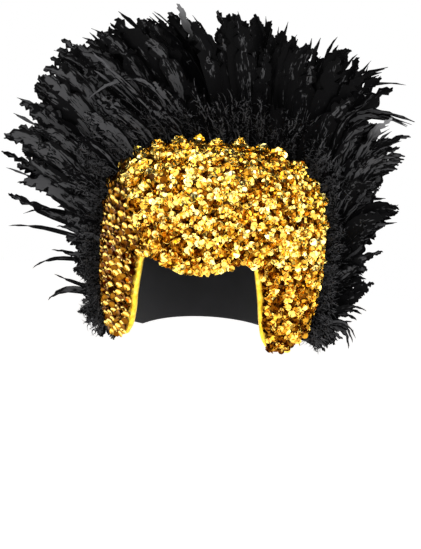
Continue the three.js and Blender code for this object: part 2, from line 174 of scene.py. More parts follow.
@dataclass(frozen=True)
class CapForm:
    """The outer surface of the cap's cloth, from the same sizes as the CAD source."""

    half_width: float = 0.112
    front_depth: float = 0.080
    back_depth: float = 0.112
    crown_rise: float = 0.100
    crown_power: float = 3.0
    flap_drop: float = 0.112
    side_taper: float = 0.13
    side_taper_power: float = 1.6
    front_taper: float = 0.5
    back_taper: float = 0.12
    taper_ease: float = 0.12
    wall: float = 0.003
    tip_sag: float = 0.007
    tip_start: float = 0.7
    tip_skew: float = 1.4
    nape_rise: float = -0.080
    ear_rise: float = -0.093
    ear_azimuth: float = math.radians(52)

    @property
    def widest_z(self) -> float:
        """Height of the cap's widest level."""
        return self.wall - self.crown_rise

    def section(self, z: Array) -> tuple[Array, Array, Array]:
        """Measure level sections of the cap.

        Args:
            z: their heights.

        Returns:
            The half-width, the front depth and the back depth of each.
        """
        drop = np.maximum(0.0, (self.widest_z - z) / self.flap_drop)
        tuck = drop**2 / (drop + self.taper_ease)
        half = self.half_width * (1 - self.side_taper * drop**self.side_taper_power)
        front = self.front_depth * (1 - self.front_taper * tuck)
        return half, front, self.back_depth * (1 - self.back_taper * tuck)

    def fraction(self, p: Array) -> Array:
        """Tell how far out points lie.

        Args:
            p: the points.

        Returns:
            1 on the cap's surface, and less inside it.
        """
        half, front, back = self.section(p[..., 2])
        flat = np.hypot(p[..., 0] / half, p[..., 1] / np.where(p[..., 1] < 0, front, back))
        rise = np.maximum(0.0, (p[..., 2] - self.widest_z) / self.crown_rise)
        return (flat**self.crown_power + rise**self.crown_power) ** (1 / self.crown_power)

    def on_cap(self, p: Array) -> Array:
        """Move points to the surface: away from the centre on the crown, and level on the flaps.

        Args:
            p: the points.

        Returns:
            The moved points.
        """
        scale = 1 / self.fraction(p)[..., None]
        centre = np.array([0.0, 0.0, self.widest_z])
        level = np.concatenate([p[..., :2] * scale, p[..., 2:]], axis=-1)
        return np.where(p[..., 2:] < self.widest_z, level, (p - centre) * scale + centre)

    def normal(self, p: Array) -> Array:
        """Give the outward normals of the surface at points."""
        steps = np.eye(3) * 5e-5
        return unit(np.stack([self.fraction(p + s) - self.fraction(p - s) for s in steps], axis=-1))

    def lifted(self, p: Array, height: Array | float) -> Array:
        """Move points of the surface outwards by heights."""
        return p + self.normal(p) * np.asarray(height)[..., None]

    def rear_edge(self, along: Array) -> Array:
        """Give points of the arch."""
        right = self.on_cap(np.array([(x, y, self.widest_z + rise) for x, rise, y in REAR_EDGE]))
        return self.on_cap(point_at(smooth_curve(both_sides(right)), (along + 1) / 2))

    def face_edge(self, along: Array) -> Array:
        """Place points on the rim of the face opening.

        Args:
            along: their shares along.

        Returns:
            The points.
        """
        x, rise = np.array(FACE_EDGE).T
        half, front, _ = self.section(self.widest_z + rise)
        right = np.stack([x, -front * np.sqrt(1 - (x / half) ** 2), self.widest_z + rise], axis=-1)
        return point_at(smooth_curve(both_sides(right)), (along + 1) / 2)

    def hem_edge(self, along: Array) -> Array:
        """Place points on the hem of the cloth back.

        Args:
            along: their shares along.

        Returns:
            The points.
        """
        azimuth = self.ear_azimuth * along
        z = self.widest_z + self.nape_rise + (self.ear_rise - self.nape_rise) * along**2
        half, _, back = self.section(z)
        return np.stack([half * np.sin(azimuth), back * np.cos(azimuth), z], axis=-1)

    def front_panel(self, along: Array, across: Array) -> Array:
        """Place points on the helmet front, whose flaps have rounded tips.

        Args:
            along: their shares along.
            across: their shares across, 1 at the face opening.

        Returns:
            The points.
        """
        start, end = self.rear_edge(along), self.face_edge(along)
        p = start + (end - start) * across[..., None]
        rounding = (np.maximum(0.0, np.abs(along) - self.tip_start) / (1 - self.tip_start)) ** 2
        p[..., 2] -= self.tip_sag * rounding * np.sin(math.pi * np.clip(across, 0, 1) ** self.tip_skew)
        return self.on_cap(p)

    def back_panel(self, along: Array, across: Array) -> Array:
        """Place points on the cloth back, whose hem is at 1 across."""
        start, end = self.rear_edge(along), self.hem_edge(along)
        return self.on_cap(start + (end - start) * across[..., None])

    def behind_arch(self, along: Array, distance: Array) -> Array:
        """Place points on the cloth back by their distance.

        Args:
            along: their shares along.
            distance: their distances behind the arch, over the cloth.

        Returns:
            The points.
        """
        shares = np.linspace(0.0, 0.75, 90)
        lines = self.back_panel(*np.broadcast_arrays(along[:, None], shares[None, :]))
        share = np.array([np.interp(d, row, shares) for d, row in zip(distance, lengths_along(lines))])
        return self.back_panel(along, share)

    def face_rim(self, count: int) -> Array:
        """Follow the rim round the flaps' bottoms and the face opening.

        Args:
            count: the number of points.

        Returns:
            Points at even distances from the left flap's rear corner to the right flap's.
        """
        across = np.linspace(0.0, 1.0, 40, endpoint=False)
        along = np.linspace(-1.0, 1.0, 500)
        left = self.front_panel(np.full_like(across, -1.0), across)
        opening = self.front_panel(along, np.ones_like(along))
        right = self.front_panel(np.full_like(across, 1.0), across)[::-1]
        return point_at(np.vstack([left, opening, right]), np.linspace(0, 1, count))


def operator(operation: str, reflected: bool = False) -> Callable[["Value", "Value | float"], "Value"]:
    """Make an operator for the numbers in a shader.

    Args:
        operation: the operation of the Math node that it adds.
        reflected: True where the other number comes first.

    Returns:
        The operator.
    """

    def add_node(value: "Value", other: "Value | float") -> "Value":
        """Add the Math node, and give its result."""
        first, second = (other, value) if reflected else (value, other)
        return value.nodes.value("ShaderNodeMath", {0: first, 1: second}, operation=operation)

    return add_node


class Value:
    """A number in a shader, which takes part in Python expressions."""

    def __init__(self, nodes: "Nodes", socket: bpy.types.NodeSocket) -> None:
        """Wrap an output socket."""
        self.nodes, self.socket = nodes, socket

    __add__, __radd__ = operator("ADD"), operator("ADD", reflected=True)
    __sub__, __rsub__ = operator("SUBTRACT"), operator("SUBTRACT", reflected=True)
    __mul__, __rmul__ = operator("MULTIPLY"), operator("MULTIPLY", reflected=True)
    __pow__ = operator("POWER")
    above = operator("GREATER_THAN")

    def clamped(self) -> "Value":
        """Keep between 0 and 1."""
        return self.nodes.value("ShaderNodeClamp", {"Value": self})


Input = Value | bpy.types.NodeSocket | float | Sequence[float]
Stops = Sequence[tuple[float, Sequence[float]]]

# Over a thread's width, this is the scale at which a Wave Texture has a band for every two threads.
BAND_SHARE = 0.16


class Nodes:
    """A tree of shader nodes under construction."""

    def __init__(self, tree: bpy.types.NodeTree) -> None:
        """Take the tree of a material or of the surroundings."""
        self.tree = tree

    def node(self, kind: str, inputs: Mapping[str | int, Input], **settings: object) -> bpy.types.Node:
        """Add a node.

        Args:
            kind: the node's type.
            inputs: values or links of its input sockets, by name or number.
            settings: its properties, set before its sockets.

        Returns:
            The node.
        """
        node = self.tree.nodes.new(kind)
        for name, value in settings.items():
            if name == "stops":
                self.set_stops(node.color_ramp, value)
            else:
                setattr(node, name, value)
        for key, value in inputs.items():
            self.feed(node.inputs[key], value)
        return node

    def value(self, kind: str, inputs: Mapping[str | int, Input], **settings: object) -> Value:
        """Add a node and give its first output as a number."""
        return Value(self, self.node(kind, inputs, **settings).outputs[0])

    def feed(self, socket: bpy.types.NodeSocket, value: Input) -> None:
        """Link or set an input socket.

        Args:
            socket: the socket.
            value: what goes into it.
        """
        if isinstance(value, Value):
            value = value.socket
        if isinstance(value, bpy.types.NodeSocket):
            self.tree.links.new(value, socket)
        else:
            socket.default_value = value

    @staticmethod
    def set_stops(ramp: bpy.types.ColorRamp, stops: Stops) -> None:
        """Set a colour ramp's stops.

        Args:
            ramp: the ramp.
            stops: positions and colours.
        """
        while len(ramp.elements) < len(stops):
            ramp.elements.new(0.5)
        for element, (position, colour) in zip(ramp.elements, stops):
            element.position = position
            element.color = (*colour, 1.0)

    def ramp(self, factor: Input, stops: Stops) -> bpy.types.NodeSocket:
        """Turn a number into a colour."""
        return self.node("ShaderNodeValToRGB", {"Fac": factor}, stops=stops).outputs["Color"]

    def mix(self, factor: Input, first: Input, second: Input, blend: str = "MIX") -> bpy.types.NodeSocket:
        """Mix two colours."""
        inputs = {0: factor, 6: first, 7: second}
        return self.node("ShaderNodeMix", inputs, data_type="RGBA", blend_type=blend).outputs[2]


class Shader(Nodes):
    """A material under construction, with its Principled shader."""

    def __init__(self, name: str, **constants: float) -> None:
        """Start a material.

        Args:
            name: the material's name.
            constants: values of the shader's own sockets, with an underscore for a space.
        """
        self.material = bpy.data.materials.new(name)
        self.material.use_nodes = True
        super().__init__(self.material.node_tree)
        self.principled = self.tree.nodes["Principled BSDF"]
        self.dress(**constants)

    def dress(self, **inputs: Input) -> bpy.types.Material:
        """Feed the shader.

        Args:
            inputs: values or links by socket name, with an underscore for a space.

        Returns:
            The material.
        """
        for name, value in inputs.items():
            self.feed(self.principled.inputs[name.replace("_", " ")], value)
        return self.material

    def number(self, name: str) -> Value:
        """Read a number that is stored on the mesh."""
        return Value(self, self.node("ShaderNodeAttribute", {}, attribute_name=name).outputs["Fac"])

    def vector(self, name: str) -> bpy.types.NodeSocket:
        """Read a vector that is stored on the mesh."""
        return self.node("ShaderNodeAttribute", {}, attribute_name=name).outputs["Vector"]

    def place(self) -> bpy.types.NodeSocket:
        """Give the object coordinates."""
        return self.node("ShaderNodeTexCoord", {}).outputs["Object"]

    def stretched(self, vector: bpy.types.NodeSocket, *scale: float) -> bpy.types.NodeSocket:
        """Scale a vector along its axes."""
        return self.node("ShaderNodeMapping", {"Vector": vector, "Scale": scale}).outputs["Vector"]

    def noise(self, vector: bpy.types.NodeSocket, scale: float, detail: float = 3.0) -> Value:
        """Give noise from 0 to 1."""
        return self.value("ShaderNodeTexNoise", {"Vector": vector, "Scale": scale, "Detail": detail})

    def threads(self, thread: float, distortion: float = 0.0) -> Value:
        """Weave threads along and across the cloth.

        Args:
            thread: the width of a thread.
            distortion: how uneven the threads are.

        Returns:
            The height of the weave, from 0 to 1.
        """
        inputs = {"Vector": self.vector("weave"), "Scale": BAND_SHARE / thread, "Distortion": distortion}
        settings = {"wave_type": "BANDS", "wave_profile": "SIN"}
        waves = [self.node("ShaderNodeTexWave", inputs, bands_direction=axis, **settings) for axis in "XY"]
        warp, weft = (Value(self, wave.outputs["Fac"]) for wave in waves)
        return warp * weft

    def bump(self, height: Value, distance: float, strength: float) -> None:
        """Roughen the shader's normal by a height field."""
        inputs = {"Height": height, "Distance": distance, "Strength": strength}
        self.dress(Normal=self.node("ShaderNodeBump", inputs).outputs["Normal"])


@dataclass(frozen=True)
class SequinFinish:
    """Metallised gold sequins, coloured from deep brown, painted shade, to lemon, painted highlight."""

    roughness: float = 0.11

    def material(self) -> bpy.types.Material:
        """Make the material.

        Returns:
            The material, whose colour follows painted highlights and painted shade stored on the mesh.
        """
        shader = Shader("sequin_gold", Metallic=1.0)
        # Deep brown stands for painted shade and lemon for a painted highlight.
        stops = (
            (0.0, (0.15, 0.045, 0.002)),
            (0.3, (0.66, 0.33, 0.025)),
            (0.6, (1.0, 0.72, 0.14)),
            (1.0, (1.0, 0.92, 0.42)),
        )
        grain = shader.noise(shader.place(), 900.0, 2.0)
        shader.bump(grain, 0.0002, 0.35)
        colour = shader.ramp(shader.number("tint"), stops)
        return shader.dress(Base_Color=colour, Roughness=grain * 0.14 + self.roughness)


@dataclass(frozen=True)
class SequinGroundFinish:
    """The brown-gold net that the sequins are sewn to."""

    mesh_size: float = 0.0012

    def material(self) -> bpy.types.Material:
        """Make the material.

        Returns:
            The material.
        """
        shader = Shader("sequin_ground", Metallic=0.6, Specular_IOR_Level=0.4)
        place = shader.place()
        inputs = {"Vector": place, "Scale": 1 / self.mesh_size}
        shader.bump(shader.value("ShaderNodeTexVoronoi", inputs, feature="DISTANCE_TO_EDGE"), 0.0004, 0.8)
        cloud = shader.noise(place, 160.0)
        colour = shader.ramp(cloud, ((0.3, (0.045, 0.013, 0.001)), (0.7, (0.20, 0.070, 0.004))))
        return shader.dress(Base_Color=colour, Roughness=cloud * 0.3 + 0.3)


@dataclass(frozen=True)
class LameFinish:
    """Gold lame tape: a fine metallic weave over soft folds."""

    thread: float = 0.0005

    def material(self) -> bpy.types.Material:
        """Make the material.

        Returns:
            The material, whose threads follow the mesh's weave.
        """
        shader = Shader("gold_lame", Metallic=0.85)
        threads = shader.threads(self.thread)
        cloud = shader.noise(shader.place(), 240.0)
        shader.bump(threads, 0.0002, 0.5)
        stops = ((0.3, (0.70, 0.36, 0.01)), (0.6, (0.98, 0.68, 0.04)), (0.9, (1.0, 0.88, 0.22)))
        colour = shader.ramp(cloud + threads * 0.2, stops)
        return shader.dress(Base_Color=colour, Roughness=cloud * 0.25 + 0.28)


@dataclass(frozen=True)
class FeltFinish:
    """Black stiffened felt with a short nap."""

    fibre: float = 0.0009

    def material(self) -> bpy.types.Material:
        """Make the material.

        Returns:
            The material.
        """
        shader = Shader("black_felt", Sheen_Weight=0.25, Sheen_Roughness=0.6, Specular_IOR_Level=0.2)
        place = shader.place()
        fibres = shader.noise(place, 1 / self.fibre, 6.0)
        shader.bump(fibres, 0.0006, 0.7)
        stops = ((0.3, (0.006, 0.0055, 0.005)), (0.75, (0.022, 0.020, 0.018)))
        colour = shader.ramp(fibres * 0.6 + shader.noise(place, 55.0) * 0.4, stops)
        return shader.dress(Base_Color=colour, Roughness=fibres * 0.15 + 0.82)


@dataclass(frozen=True)
class CottonFinish:
    """Plain black woven cotton."""

    thread: float = 0.0007

    def material(self) -> bpy.types.Material:
        """Make the material.

        Returns:
            The material, whose threads follow the mesh's weave.
        """
        shader = Shader("black_cotton", Sheen_Weight=0.15, Sheen_Roughness=0.5, Specular_IOR_Level=0.3)
        threads = shader.threads(self.thread, 0.6)
        wear = shader.noise(shader.place(), 38.0)
        shader.bump(threads, 0.0003, 0.6)
        stops = ((0.2, (0.004, 0.004, 0.0045)), (0.8, (0.020, 0.020, 0.023)))
        colour = shader.ramp(threads * 0.45 + wear * 0.55, stops)
        return shader.dress(Base_Color=colour, Roughness=wear * 0.2 + 0.72)


@dataclass(frozen=True)
class FeatherFinish:
    """Dyed black feathers, with a painted grey sheen that runs along the barbs."""

    name: str = "black_feather"
    dark: tuple[float, float, float] = (0.0010, 0.0010, 0.0012)
    # Grey of the painted sheen.
    light: tuple[float, float, float] = (0.042, 0.042, 0.044)
    # Grey painted into some tips for light showing through them.
    tip_backlight_grey: tuple[float, float, float] = (0.16, 0.16, 0.165)
    edge: float = 0.74
    roughness: float = 0.35
    gloss: float = 0.04

    def material(self) -> bpy.types.Material:
        """Make the material.

        Returns:
            The material. Its streaks follow the mesh's barbs; its grey is a painted sheen, which the mesh's
            tone adds and its rim takes away, and a tone of 1 also paints light showing through into the tip.
        """
        shader = Shader(self.name, Specular_IOR_Level=self.gloss)
        barb = shader.vector("barb")
        # Streaks and patches along the barbs lay painted sheen as grey over the black.
        streaks = shader.noise(shader.stretched(barb, 160.0, 700.0, 1.0), 1.0, 3.0)
        sheen_patches = shader.noise(shader.stretched(barb, 38.0, 150.0, 1.0), 1.0, 5.0)
        # The mesh's tone holds random tone and painted sheen; the rim takes painted sheen off the vane's
        # edges.
        tone = shader.number("tone")
        rim = shader.number("rim") ** 4.0
        # A tone of 1 paints light showing through into the outer quarter of the feather, and takes some
        # painted sheen off the rest.
        backlit_tip = tone.above(0.95)
        level = streaks * 0.45 + sheen_patches * 0.75 + tone * 0.32 - rim * 0.22 - backlit_tip * 0.18
        body = shader.ramp(level, ((self.edge, self.dark), (self.edge + 0.05, self.light)))
        tip_backlight_share = (backlit_tip * (shader.number("reach") * 4.0 - 3.0)).clamped()
        shader.bump(streaks, 0.0004, 0.6)
        return shader.dress(
            Base_Color=shader.mix(tip_backlight_share, body, (*self.tip_backlight_grey, 1.0)),
            Roughness=streaks * 0.25 + tone * 0.12 + self.roughness,
        )


@dataclass(frozen=True)
class FloorFinish:
    """A plain pale studio floor."""

    colour: tuple[float, float, float] = (0.90, 0.90, 0.90)
    glow: float = 0.9

    def material(self) -> bpy.types.Material:
        """Make the material.

        Returns:
            The material.
        """
        shader = Shader("studio_floor", Roughness=0.9, Specular_IOR_Level=0.1, Emission_Strength=self.glow)
        cloud = shader.noise(shader.place(), 0.8)
        pale = tuple(0.97 * c for c in self.colour)
        return shader.dress(Base_Color=shader.ramp(cloud, ((0.3, pale), (0.7, self.colour))))


def new_object(name: str, data: bpy.types.ID) -> bpy.types.Object:
    """Make an object of a mesh, a lamp or a camera, and link it to the scene.

    Args:
        name: the object's name.
        data: what it shows.

    Returns:
        The object.
    """
    thing = bpy.data.objects.new(name, data)
    bpy.context.scene.collection.objects.link(thing)
    return thing


def store(mesh: bpy.types.Mesh, name: str, values: Array) -> None:
    """Store a number or a vector on each point of a mesh.

    Args:
        mesh: the mesh.
        name: the name under which materials read it.
        values: one row for each point, with 1 number or 3.
    """
    kind, part = {1: ("FLOAT", "value"), 3: ("FLOAT_VECTOR", "vector")}[values.shape[1]]
    data = mesh.attributes.new(name, kind, "POINT").data
    data.foreach_set(part, values.astype(np.float32).ravel())


def smooth(piece: bpy.types.Object, sharp: float = math.pi) -> None:
    """Shade a piece smooth.

    Args:
        piece: the piece.
        sharp: the angle from which its edges stay sharp.
    """
    piece.data.polygons.foreach_set("use_smooth", [True] * len(piece.data.polygons))
    piece.data.update()
    if sharp < math.pi:
        piece.data.set_sharp_from_angle(angle=sharp)


def hand_over(piece: bpy.types.Object, material: bpy.types.Material, node: str) -> None:
    """Dress a finished piece, tie it to the frame and report it.

    Args:
        piece: the finished piece.
        material: its material.
        node: the CAD node that it stands for.
    """
    piece.data.materials.append(material)
    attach(piece, BODY)
    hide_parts(node)
    shown = piece.evaluated_get(bpy.context.evaluated_depsgraph_get()).to_mesh()
    LOG.info("%s: %d triangles", piece.name, sum(len(p.vertices) - 2 for p in shown.polygons))


def cloth_piece(
    name: str, steps: tuple[int, int], shape: Surface, cut: Sequence[float], wall: float, offset: float = -1.0
) -> bpy.types.Object:
    """Make a sheet from a grid, and give it its wall.

    Args:
        name: the piece's name.
        steps: faces along and across.
        shape: places points by their shares along and across.
        cut: length and width of the cut cloth, which scale its weave.
        wall: its thickness.
        offset: -1 where the wall grows inwards, 0 both ways.

    Returns:
        The sheet, with its weave stored on its points.
    """
    bm = bmesh.new()
    bmesh.ops.create_grid(bm, x_segments=steps[0], y_segments=steps[1], size=1.0)
    grid = np.array([v.co[:2] for v in bm.verts])
    along, across = grid[:, 0], (grid[:, 1] + 1) / 2
    for vert, point in zip(bm.verts, shape(along, across)):
        vert.co = point
    bmesh.ops.recalc_face_normals(bm, faces=bm.faces[:])
    middle = min(bm.faces, key=lambda f: abs(f.calc_center_median().x))
    if middle.normal.dot(middle.calc_center_median() - Vector((0.0, 0.0, -0.1))) < 0:
        bmesh.ops.reverse_faces(bm, faces=bm.faces[:])
    mesh = bpy.data.meshes.new(name)
    bm.to_mesh(mesh)
    bm.free()
    store(mesh, "weave", np.stack([along * cut[0] / 2, across * cut[1], np.zeros_like(along)], axis=-1))
    piece = new_object(name, mesh)
    smooth(piece)
    solid = piece.modifiers.new("wall", "SOLIDIFY")
    solid.thickness, solid.offset, solid.use_even_offset = wall, offset, False
    return piece


@dataclass
class Shells:
    """The cloth of the cap: felt front with its flaps, and cotton back with its hem."""

    form: CapForm
    front_wall: float = 0.003
    back_wall: float = 0.002
    back_start: float = 0.004
    crease: float = 0.0006

    def build(self) -> None:
        """Make the padded felt front and the cotton back."""
        felt = cloth_piece("helmet_front", (150, 44), self.form.front_panel, (0.54, 0.135), self.front_wall)
        hand_over(felt, FeltFinish().material(), "front_shell")
        cotton = cloth_piece("cap_back", (150, 90), self.creased_back, (0.54, 0.22), self.back_wall)
        hand_over(cotton, CottonFinish().material(), "back_shell")

    def creased_back(self, along: Array, across: Array) -> Array:
        """Place the back with shallow creases, which run from the seam to the hem and fade at both.

        Args:
            along: shares along.
            across: shares across, from the seam to the hem.

        Returns:
            The points.
        """
        p = self.form.back_panel(along, self.back_start + (1 - self.back_start) * across)
        fade = np.sin(math.pi * np.clip(across, 0, 1)) ** 0.5
        depth = ripple(p * (1.0, 1.0, 0.35), 0.03, 4.0) * fade - 0.4
        return self.form.lifted(p, self.crease * depth)


@dataclass
class Binding:
    """The lame tape that is folded over the rim of the face opening."""

    form: CapForm
    steps: tuple[int, int] = (480, 14)
    leg: float = 0.005  # how far it laps over each side of the cloth
    leg_share: float = 0.3  # share of its width in each leg
    outer: float = 0.0010  # heights of the legs over the cloth's outer surface
    inner: float = -0.0046
    fold: float = 0.0010  # how far its fold stands out past the rim
    tape: float = 0.0009
    pucker: float = 0.00035

    def profile(self, share: Array) -> tuple[Array, Array]:
        """Draw the tape's section.

        Args:
            share: shares of the section, from the outer leg's edge to the inner leg's.

        Returns:
            Distance out past the rim and height over the cloth.
        """
        turn = np.clip((share - self.leg_share) / (1 - 2 * self.leg_share), 0, 1) * math.pi
        on_leg = np.maximum(self.leg_share - share, share - (1 - self.leg_share)) / self.leg_share
        out = np.where(on_leg > 0, -self.leg * on_leg, self.fold * np.sin(turn))
        return out, (self.outer + self.inner) / 2 + (self.outer - self.inner) / 2 * np.cos(turn)

    def folded(self, along: Array, across: Array) -> Array:
        """Place the tape round the rim, with small puckers.

        Args:
            along: shares along the rim, from -1 to 1.
            across: shares of the tape's width.

        Returns:
            The points.
        """
        last = self.steps[0]
        rim = self.form.face_rim(last + 1)
        up = self.form.normal(rim)
        out = unit(np.cross(np.gradient(rim, axis=0), up))
        at = np.clip(np.round((along + 1) / 2 * last).astype(int), 0, last)
        push, lift = self.profile(across)
        p = rim[at] + out[at] * push[:, None] + up[at] * lift[:, None]
        pucker = self.pucker * ripple(p, 0.007, 9.0) * np.sign(lift - (self.outer + self.inner) / 2)
        return p + up[at] * pucker[:, None]

    def build(self) -> None:
        """Make the binding."""
        piece = cloth_piece("face_binding_tape", self.steps, self.folded, (0.62, 0.016), self.tape, 0.0)
        hand_over(piece, LameFinish().material(), "face_binding")


@dataclass(frozen=True)
class Template:
    """A small shape that is copied many times: its points and its triangles."""

    points: Array
    triangles: Array

    @classmethod
    def taken_from(cls, bm: bmesh.types.BMesh) -> "Template":
        """Read a bmesh as triangles and free it.

        Args:
            bm: the closed shape.

        Returns:
            The template.
        """
        bmesh.ops.recalc_face_normals(bm, faces=bm.faces[:])
        bmesh.ops.triangulate(bm, faces=bm.faces[:])
        bm.verts.index_update()
        points = np.array([v.co[:] for v in bm.verts])
        triangles = np.array([[v.index for v in f.verts] for f in bm.faces])
        bm.free()
        return cls(points, triangles)


@dataclass
class JoinedMesh:
    """Many copies of small shapes, joined as arrays into one mesh."""

    name: str
    points: list[Array] = field(default_factory=list)
    triangles: list[Array] = field(default_factory=list)
    marks: dict[str, list[Array]] = field(default_factory=dict)
    size: int = 0

    def add(self, points: Array, triangles: Array, **marks: Array) -> None:
        """Add copies of one template.

        Args:
            points: copies by points by 3.
            triangles: the template's triangles.
            marks: numbers, copies by points, or vectors, copies by points by 3, which are stored by name.
        """
        copies, count, _ = points.shape
        starts = self.size + np.arange(copies) * count
        self.points.append(points.reshape(-1, 3))
        self.triangles.append((triangles[None] + starts[:, None, None]).reshape(-1, 3))
        for name, values in marks.items():
            self.marks.setdefault(name, []).append(values.reshape(copies * count, -1))
        self.size += copies * count

    def build(self, sharp: float) -> bpy.types.Object:
        """Make the object.

        Args:
            sharp: the angle from which its edges stay sharp.

        Returns:
            The object, shaded smooth.
        """
        points, triangles = np.vstack(self.points), np.vstack(self.triangles)
        mesh = bpy.data.meshes.new(self.name)
        mesh.vertices.add(len(points))
        mesh.vertices.foreach_set("co", points.astype(np.float32).ravel())
        mesh.loops.add(triangles.size)
        mesh.loops.foreach_set("vertex_index", triangles.astype(np.int32).ravel())
        mesh.polygons.add(len(triangles))
        mesh.polygons.foreach_set("loop_start", np.arange(0, triangles.size, 3, dtype=np.int32))
        for name, parts in self.marks.items():
            store(mesh, name, np.vstack(parts))
        mesh.update(calc_edges=True)
        mesh.validate()
        piece = new_object(self.name, mesh)
        smooth(piece, sharp)
        return piece


def spaced(spots: Array, closest: float) -> list[int]:
    """Choose points that keep their distance.

    Args:
        spots: points in metres, in the order in which they are tried.
        closest: the least distance between two chosen points.

    Returns:
        The numbers of the chosen points.
    """
    taken: dict[tuple[int, int, int], list[Array]] = {}
    kept = []
    around = [(dx, dy, dz) for dx in (-1, 0, 1) for dy in (-1, 0, 1) for dz in (-1, 0, 1)]
    for number, spot in enumerate(spots):
        x, y, z = (int(v) for v in spot // closest)
        near = (other for dx, dy, dz in around for other in taken.get((x + dx, y + dy, z + dz), ()))
        if all(np.dot(spot - other, spot - other) > closest**2 for other in near):
            taken.setdefault((x, y, z), []).append(spot)
            kept.append(number)
    return kept


class SequinCut(Enum):
    """How the rim of a dished sequin has bent, by its number of waves."""

    PLAIN = 0
    SADDLE = 2
    WAVY = 3


@dataclass
class Sequins:
    """The gold sequins of the helmet front, and the ruffled net that carries them."""

    form: CapForm
    radius: float = 0.0036
    closest: float = 0.0026
    dish: float = 0.34  # depth and waves of a sequin, as shares of its radius
    wave: float = 0.36
    fold: float = 1 / 2.4  # the painted glint along an even row sequin's middle, as if folded there: how far it reaches, and how much painted shade takes away past it
    shade_past_glint: float = 0.97
    rows: int = 29  # even rows on the left flap and its side
    row_pitch: float = 0.0066
    rows_until: float = -0.31
    row_lean: tuple[float, float] = (0.05, -0.36)
    low: float = 0.0014  # height of the net over the cloth in a hollow
    ruffle: float = 0.0056  # height of a full ruffle over that
    sewn: float = 0.0013  # height of a sequin's middle over the net
    hollow: float = 0.0062
    hollow_pitch: float = 0.0092
    rosette: float = 0.0098
    rosettes: int = 25
    ease: float = 0.85  # share of the ruffles' slope that the sequins follow
    stray: float = 0.36
    bare_binding: float = 0.0030
    flap_top: float = -0.115
    seed: int = 7

    def __post_init__(self) -> None:
        """Settle where the ruffled net has its hollows, and the rosettes along the feathers."""
        rng = np.random.default_rng(self.seed)
        tries = rng.uniform((-1.0, 0.07), (1.0, 0.97), (6000, 2))
        spots = self.form.front_panel(tries[:, 0], tries[:, 1])
        kept = np.array(spaced(spots, self.hollow_pitch))
        self.hollows = spots[kept]
        self.ridge_height = rng.uniform(0.8, 1.0, len(kept))
        self.ridge_height[(np.abs(tries[kept, 0]) < 0.5) & (tries[kept, 1] < 0.34)] *= 0.6
        self.ridge_height[tries[kept, 0] < self.rows_until] *= 0.4
        rear = np.linspace(-0.95, 0.95, self.rosettes) + rng.uniform(-0.012, 0.012, self.rosettes)
        self.rosette_spots = self.form.front_panel(rear, np.full_like(rear, 0.015))
        high = np.interp(np.abs(rear), (0.45, 0.6), (1.0, 0.5))
        self.rosette_height = rng.uniform(1.6, 2.2, self.rosettes) * high

    def swell(self, p: Array) -> Array:
        """Shape the ruffles: ridges between the hollows, and the rosettes.

        Args:
            p: points of the cloth.

        Returns:
            The share of a full ruffle's height at each.
        """
        number, gap = nearest(p, self.hollows)
        ridge = np.clip(gap / self.hollow, 0, 1) ** 2 * self.ridge_height[number]
        number, gap = nearest(p, self.rosette_spots)
        dome = (1 - np.clip(gap / self.rosette, 0, 1) ** 2) * self.rosette_height[number]
        return np.maximum(ridge, dome)

    def net(self, along: Array, across: Array) -> Array:
        """Place the net, a little inside the rim and down to the cloth at the feathers.

        Args:
            along: shares along.
            across: shares across the net.

        Returns:
            The points.
        """
        first, last, inset, lowest, under_sequins, slack = -0.02, 0.962, 0.985, 0.0006, 0.0010, 0.85
        share = first + (last - first) * across
        p = self.form.front_panel(along * inset, share)
        rise = np.clip((share - first) / 0.03, 0, 1)
        height = self.low + self.ruffle * slack * self.swell(p) - under_sequins
        return self.form.lifted(p, lowest + rise * height)

    def ground(self) -> None:
        """Make the ruffled net."""
        piece = cloth_piece("sequin_net", (230, 66), self.net, (0.54, 0.135), 0.0004)
        hand_over(piece, SequinGroundFinish().material(), "sequin_field")

    def template(self, cut: SequinCut) -> Template:
        """Make one sequin of radius 1.

        Args:
            cut: the shape that the sequin has taken.

        Returns:
            The sequin, which faces +Z.
        """
        bm = bmesh.new()
        bmesh.ops.create_circle(bm, cap_ends=True, segments=8, radius=1.0)
        bmesh.ops.poke(bm, faces=bm.faces[:])
        for vert in bm.verts:
            out = vert.co.xy.length
            turn = math.atan2(vert.co.y, vert.co.x)
            wave = self.wave * math.cos(cut.value * turn) if cut.value and out > 0.1 else 0.0
            vert.co.z = self.dish * (out**2 - 1) + wave * out**2
        bmesh.ops.recalc_face_normals(bm, faces=bm.faces[:])
        bmesh.ops.solidify(bm, geom=bm.faces[:], thickness=0.07)
        return Template.taken_from(bm)

    def places(self) -> tuple[Array, Array, Array]:
        """Find where the sequins sit: in even rows on the left flap and its side, and loosely elsewhere.

        Returns:
            The share along and across of each sequin, and 1 for those of the rows that get painted shade.
        """
        rng = np.random.default_rng(self.seed + 2)
        across, rows = np.linspace(-0.02, 1.0, 200), []
        for number, along in enumerate(np.linspace(-0.998, self.rows_until, self.rows)):
            line = self.form.front_panel(np.full_like(across, along), across)
            count = max(2, round(lengths_along(line)[-1] / self.row_pitch))
            spread = (np.arange(count) + 0.5 * (number % 2) + 0.25) / count
            # Every second sequin of a row, staggered from row to row, gets painted shade instead of a painted
            # glint.
            turned = (np.arange(count) + (number + 1) // 2) % 2
            rows.append(np.column_stack([np.full(count, along), spread, turned]))
        over_rim = np.column_stack([np.linspace(-0.47, 0.47, 60), np.tile((1.004, 0.99), 30), np.zeros(60)])
        loose = rng.uniform((self.rows_until + 0.02, -0.03, 0.0), (1.0, 1.010, 0.0), (30000, 3))
        tries = np.vstack([over_rim, *rows, loose])
        return tuple(tries[spaced(self.form.front_panel(tries[:, 0], tries[:, 1]), self.closest)].T)

